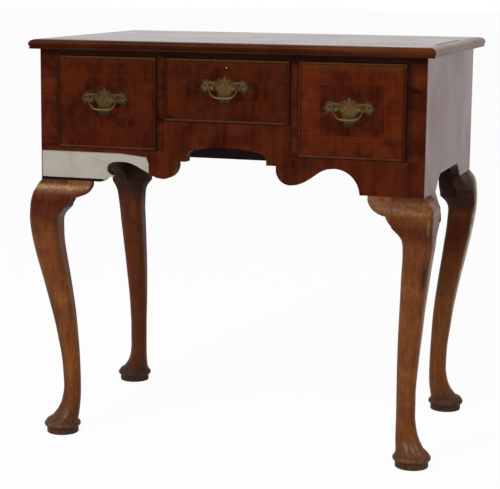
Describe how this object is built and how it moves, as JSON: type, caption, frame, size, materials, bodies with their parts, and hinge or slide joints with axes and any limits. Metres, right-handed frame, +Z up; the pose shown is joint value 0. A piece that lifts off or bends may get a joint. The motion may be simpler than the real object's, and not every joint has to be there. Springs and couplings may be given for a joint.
{
  "type": "lowboy",
  "caption": "Walnut veneered lowboy with small drawers in a row, brass bail handles, a shaped apron, and cabriole legs on pad feet.",
  "frame": {"origin": "on the floor under the middle of the table's outline box", "axes": "+Z up, the drawers face -Y and slide out along -Y, +X to the right as seen from the front"},
  "size_m": [0.7274, 0.4788, 0.711],
  "materials": {
    "top_veneer": "polished walnut veneer",
    "top_moulding": "polished cross-grained walnut",
    "side_veneer": "polished walnut veneer",
    "front_veneer": "polished walnut veneer",
    "drawer_veneer": "polished banded walnut veneer",
    "leg_walnut": "worn polished solid walnut",
    "bare_ground": "bare board with traces of glue",
    "oak": "unfinished oak",
    "cock_bead": "polished walnut bead",
    "handle_brass": "aged brass",
    "lock_iron": "plain iron"
  },
  "bodies": {
    "carcase": {"apron_board": "bare_ground", "apron_veneer": "front_veneer", "back_board": "oak", "corner_stile_left": "front_veneer", "corner_stile_right": "front_veneer", "divider_left": "front_veneer", "divider_right": "front_veneer", "inner_runner_left": "oak", "inner_runner_right": "oak", "kicker_left": "oak", "kicker_right": "oak", "knee_bracket_back_left_side": "leg_walnut", "knee_bracket_back_right_side": "leg_walnut", "knee_bracket_front_left_apron": "leg_walnut", "knee_bracket_front_left_side": "leg_walnut", "knee_bracket_front_right_apron": "leg_walnut", "knee_bracket_front_right_side": "leg_walnut", "leg_back_left": "leg_walnut", "leg_back_right": "leg_walnut", "leg_front_left": "leg_walnut", "leg_front_right": "leg_walnut", "middle_runner_left": "oak", "middle_runner_right": "oak", "outer_runner_left": "oak", "outer_runner_right": "oak", "partition_left": "oak", "partition_right": "oak", "side_panel_left": "side_veneer", "side_panel_right": "side_veneer", "top_board": "top_veneer", "top_lip_front": "top_moulding", "top_lip_left": "top_moulding", "top_lip_right": "top_moulding", "top_rail": "front_veneer"},
    "drawer_left": {"drawer_left_front": "drawer_veneer", "drawer_left_bead": "cock_bead", "drawer_left_side_left": "oak", "drawer_left_side_right": "oak", "drawer_left_back": "oak", "drawer_left_bottom": "oak", "drawer_left_handle": "handle_brass"},
    "drawer_middle": {"drawer_middle_front": "drawer_veneer", "drawer_middle_bead": "cock_bead", "drawer_middle_side_left": "oak", "drawer_middle_side_right": "oak", "drawer_middle_back": "oak", "drawer_middle_bottom": "oak", "drawer_middle_handle": "handle_brass", "lock_case": "lock_iron"},
    "drawer_right": {"drawer_right_front": "drawer_veneer", "drawer_right_bead": "cock_bead", "drawer_right_side_left": "oak", "drawer_right_side_right": "oak", "drawer_right_back": "oak", "drawer_right_bottom": "oak", "drawer_right_handle": "handle_brass"},
    "bail_left": {"drawer_left_bail": "handle_brass"},
    "bail_middle": {"drawer_middle_bail": "handle_brass"},
    "bail_right": {"drawer_right_bail": "handle_brass"},
    "lock_bolt": {"lock_bolt": "lock_iron"}
  },
  "joints": [
    {"name": "drawer_left_slide", "type": "slide", "parent": "carcase", "child": "drawer_left", "axis": [0, -1, 0], "range_m": [0, 0.3]},
    {"name": "drawer_middle_slide", "type": "slide", "parent": "carcase", "child": "drawer_middle", "axis": [0, -1, 0], "range_m": [0, 0.3]},
    {"name": "drawer_right_slide", "type": "slide", "parent": "carcase", "child": "drawer_right", "axis": [0, -1, 0], "range_m": [0, 0.3]},
    {"name": "bail_left_hinge", "type": "hinge", "parent": "drawer_left", "child": "bail_left", "pos_m": [-0.2229, -0.23025, 0.60813], "axis": [-1, 0, 0], "range_deg": [-20, 180]},
    {"name": "bail_middle_hinge", "type": "hinge", "parent": "drawer_middle", "child": "bail_middle", "pos_m": [-0.0028, -0.23025, 0.63495], "axis": [-1, 0, 0], "range_deg": [-20, 180]},
    {"name": "bail_right_hinge", "type": "hinge", "parent": "drawer_right", "child": "bail_right", "pos_m": [0.2145, -0.23025, 0.60593], "axis": [-1, 0, 0], "range_deg": [-20, 180]},
    {"name": "lock_bolt_slide", "type": "slide", "parent": "drawer_middle", "child": "lock_bolt", "axis": [0, 0, 1], "range_m": [0, 0.006]}
  ]
}
